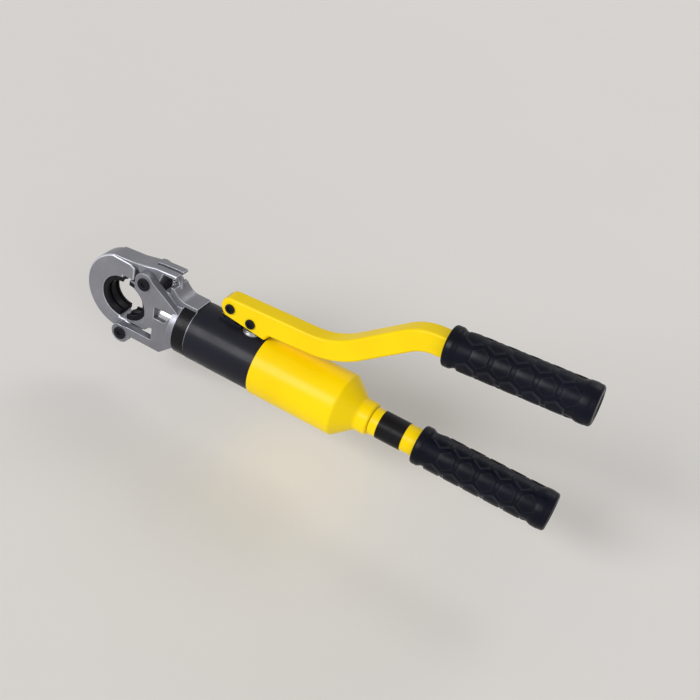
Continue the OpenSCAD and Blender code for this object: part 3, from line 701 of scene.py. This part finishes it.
def pads_mesh(tree, finish):
    """The pads of one grip, along +X from its front, as a plain mesh."""
    s = bpy.context.scene.crimper_grip
    shell = shell_of("pads_shell", bpy.data.meshes.new("pads_shell"))
    modifier = shell.modifiers.new("pads", "NODES")
    modifier.node_group = tree
    for item in tree.interface.items_tree:
        if item.item_type == "SOCKET" and item.in_out == "INPUT":
            setting = PAD_INPUTS[item.name][1]
            modifier[item.identifier] = getattr(s, setting) if setting else finish
    mesh = baked(shell)
    made = bmesh.new()
    made.from_mesh(mesh)
    bmesh.ops.remove_doubles(made, verts=made.verts, dist=1e-6)
    bmesh.ops.recalc_face_normals(made, faces=made.faces)
    made.to_mesh(mesh)
    made.free()
    return mesh


# Stage


def lay_floor(s):
    """A pale floor under the opened jaw."""
    low, reach = CAD_BOX[0][2] - s.drop, FLOOR_REACH
    corners = [(-reach, -reach, low), (reach, -reach, low), (reach, reach, low), (-reach, reach, low)]
    mesh = bpy.data.meshes.new("floor")
    mesh.from_pydata(corners, [], [(0, 1, 2, 3)])
    floor = bpy.data.objects.new("floor", mesh)
    bpy.context.scene.collection.objects.link(floor)
    f = Finish("pale_floor")
    colour = tuple(s.floor)
    f.set(Base_Color=f.clouds(f.noise(3, 2), 0.4, 0.6, tone(colour, 0.99), colour), Roughness=0.75)
    mesh.materials.append(f.material)
    floor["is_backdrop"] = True


def light_sky(s):
    """An even sky, which is paler where it is seen or mirrored."""
    world = bpy.data.worlds.new("studio")
    world.use_nodes = True
    nodes, links = world.node_tree.nodes, world.node_tree.links
    background = nodes["Background"]
    background.inputs["Color"].default_value = SKY_COLOUR
    rays = nodes.new("ShaderNodeLightPath")
    seen = rays.outputs["Is Camera Ray"]
    for kind in ("Is Glossy Ray", "Is Transmission Ray"):
        either = nodes.new("ShaderNodeMath")
        either.operation = "MAXIMUM"
        links.new(seen, either.inputs[0])
        links.new(rays.outputs[kind], either.inputs[1])
        seen = either.outputs[0]
    level = nodes.new("ShaderNodeMapRange")
    level.inputs["To Min"].default_value = s.sky_light
    level.inputs["To Max"].default_value = s.sky_seen
    links.new(seen, level.inputs["Value"])
    links.new(level.outputs[0], background.inputs["Strength"])
    bpy.context.scene.world = world


def hang_lamps():
    """Broad lamps that shine from afar."""
    for name, (place, spread, power) in LAMPS.items():
        lamp = bpy.data.lights.new(name, "SUN")
        lamp.angle = math.radians(spread)
        lamp.energy = power
        holder = bpy.data.objects.new(name, lamp)
        holder.location = place
        holder.rotation_euler = (LAMP_TARGET - Vector(place)).to_track_quat("-Z", "Y").to_euler()
        bpy.context.scene.collection.objects.link(holder)


def aim_camera(s):
    """The photograph's view, which is rolled."""
    turn, rise, roll = (math.radians(a) for a in (s.azimuth, s.elevation, s.roll))
    level = math.cos(rise)
    back = Vector((math.sin(turn) * level, -math.cos(turn) * level, math.sin(rise)))
    right = Vector((math.cos(turn), math.sin(turn), 0))
    up = back.cross(right)
    across = right * math.cos(roll) + up * math.sin(roll)
    upward = up * math.cos(roll) - right * math.sin(roll)
    facing = Matrix((across, upward, back)).transposed().to_4x4()
    camera = bpy.data.objects.new("camera", bpy.data.cameras.new("camera"))
    camera.data.lens = s.lens
    camera.data.sensor_width = SENSOR_WIDTH
    camera.data.clip_start = 0.01
    camera.matrix_world = Matrix.Translation(CAMERA_TARGET + back * s.distance) @ facing
    bpy.context.scene.collection.objects.link(camera)
    bpy.context.scene.camera = camera


# Steps


class CRIMPER_OT_stage(bpy.types.Operator):
    """Sets the floor, the soft lamps and the camera"""

    bl_idname = "crimper.stage"
    bl_label = "Stage"

    def execute(self, context):
        s = context.scene.crimper_stage
        lay_floor(s)
        light_sky(s)
        hang_lamps()
        aim_camera(s)
        context.scene.view_settings.view_transform = "Standard"
        return {"FINISHED"}


class CRIMPER_OT_head(bpy.types.Operator):
    """Breaks the edges of the yoke, the flip jaw, the die holder and the latch, and paints a highlight
    on them
    """

    bl_idname = "crimper.head"
    bl_label = "Head"

    def execute(self, context):
        edge = context.scene.crimper_edge.head
        # The bevels of all four pieces take the painted highlight finish.
        for node, width in (("yoke", edge), ("flip_jaw", edge * 1.4), ("latch", edge)):
            softened(node, width, 1, weigh=head_edges(node), edge="painted_highlight_edge", clamp=False)
        softened("die_holder", edge * 0.6, edge="painted_highlight_edge")
        return {"FINISHED"}


class CRIMPER_OT_dies(bpy.types.Operator):
    """Breaks the edges of both dies and finishes their screws"""

    bl_idname = "crimper.dies"
    bl_label = "Dies"

    def execute(self, context):
        edge = context.scene.crimper_edge.small
        for node in ("fixed_die", "moving_die"):
            # The bevels take the finish of worn oxide with a painted highlight.
            softened(node, edge, edge="wear_and_glint_edge")
        left_as_is("fixed_die_screw", "moving_die_screw")
        return {"FINISHED"}


class CRIMPER_OT_pins(bpy.types.Operator):
    """Finishes the pins, their clips and the bracket's screws"""

    bl_idname = "crimper.pins"
    bl_label = "Pins"

    def execute(self, context):
        edge = context.scene.crimper_edge.small
        for node in ("hinge_pin", "latch_pin", "fulcrum_pin", "plunger_pin"):
            # The bevels take the finish of worn oxide with a painted highlight.
            softened(node, edge, edge="wear_and_glint_edge")
        left_as_is("hinge_clip", "latch_clip", "lever_clips", "bracket_screws")
        return {"FINISHED"}


class CRIMPER_OT_cylinder(bpy.types.Operator):
    """Finishes the cylinder tube and the bare label band on the yoke's ring"""

    bl_idname = "crimper.cylinder"
    bl_label = "Cylinder"

    def execute(self, context):
        edge = context.scene.crimper_edge.small
        softened("cylinder_tube", edge * 1.5, 3)
        left_as_is("ring_label")
        return {"FINISHED"}


class CRIMPER_OT_pump(bpy.types.Operator):
    """Finishes the ram, the pump, the bracket, the springs and the pieces inside"""

    bl_idname = "crimper.pump"
    bl_label = "Pump and ram"

    def execute(self, context):
        edge = context.scene.crimper_edge.small
        for node in ("gland_nut", "pump_plunger", "fulcrum_bracket"):
            softened(node, edge)
        for node, motion in SPRINGS.items():
            spring(node, *motion)
        left_as_is(
            "ram_rod", "piston", "piston_seal", "rod_seal", "pump_block", "block_seal",
            "plunger_seal", "inlet_ball", "outlet_ball", "valve_plugs", "relief_valve",
            "oil_bladder", "bladder_clamp", "release_spindle")
        return {"FINISHED"}


class CRIMPER_OT_lever(bpy.types.Operator):
    """Rounds the long edges of the cranked pump lever"""

    bl_idname = "crimper.lever"
    bl_label = "Lever"

    def execute(self, context):
        edge = context.scene.crimper_edge.lever
        softened("lever", edge, 4, weigh=lever_edges(), clamp=False)
        return {"FINISHED"}


class CRIMPER_OT_reservoir(bpy.types.Operator):
    """Finishes the reservoir housing, the handle tube and its bare label band"""

    bl_idname = "crimper.reservoir"
    bl_label = "Reservoir and handle"

    def execute(self, context):
        edge = context.scene.crimper_edge.small
        softened("reservoir_housing", edge * 2, 3)
        softened("handle_tube", edge)
        left_as_is("handle_label")
        return {"FINISHED"}


class CRIMPER_OT_grips(bpy.types.Operator):
    """Moulds both rubber grips with their collars and raised hexagon pads"""

    bl_idname = "crimper.grips"
    bl_label = "Grips"

    def execute(self, context):
        tree = pad_tree()
        for node, (front, tilt, inner) in GRIPS.items():
            place = Matrix.Translation(front) @ Matrix.Rotation(math.radians(tilt), 4, "Y")
            body = turned(grip_profile(GRIP_LENGTH, inner), GRIP_STEPS)
            body.transform(place)
            piece = new_piece(node + "_moulding", body, node, smooth=60)
            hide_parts(node)
            pads = pads_mesh(tree, FINISHES["grip_rubber"])
            pads.transform(place)
            new_piece(node + "_pads", pads, node, smooth=25)
        return {"FINISHED"}


STEPS = (
    CRIMPER_OT_stage, CRIMPER_OT_head, CRIMPER_OT_dies, CRIMPER_OT_pins, CRIMPER_OT_cylinder,
    CRIMPER_OT_pump, CRIMPER_OT_lever, CRIMPER_OT_reservoir, CRIMPER_OT_grips,
)
SETTINGS = {
    "crimper_finish": FinishSettings, "crimper_edge": EdgeSettings,
    "crimper_grip": GripSettings, "crimper_stage": StageSettings,
}


class CRIMPER_PT_panel(bpy.types.Panel):
    """Lists the steps and the settings of the crimping tool"""

    bl_idname = "CRIMPER_PT_panel"
    bl_label = "Crimping tool"
    bl_space_type = "VIEW_3D"
    bl_region_type = "UI"
    bl_category = "Crimping tool"

    def draw(self, context):
        for key, group in SETTINGS.items():
            box = self.layout.box()
            for name in group.__annotations__:
                box.prop(getattr(context.scene, key), name)
        for step in STEPS:
            self.layout.operator(step.bl_idname)


def register():
    for group in (*SETTINGS.values(), *STEPS, CRIMPER_PT_panel):
        bpy.utils.register_class(group)
    for key, group in SETTINGS.items():
        setattr(bpy.types.Scene, key, bpy.props.PointerProperty(type=group))


def unregister():
    for key in SETTINGS:
        delattr(bpy.types.Scene, key)
    for group in reversed((*SETTINGS.values(), *STEPS, CRIMPER_PT_panel)):
        bpy.utils.unregister_class(group)


def main():
    register()
    make_finishes()
    for step in STEPS:
        family, name = step.bl_idname.split(".")
        getattr(getattr(bpy.ops, family), name)()
    boxes = {"cad": CAD_BOX, "visual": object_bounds()}
    {key: [list(map(float, corner)) for corner in box] for key, box in boxes.items()}


if __name__ == "__main__":
    main()
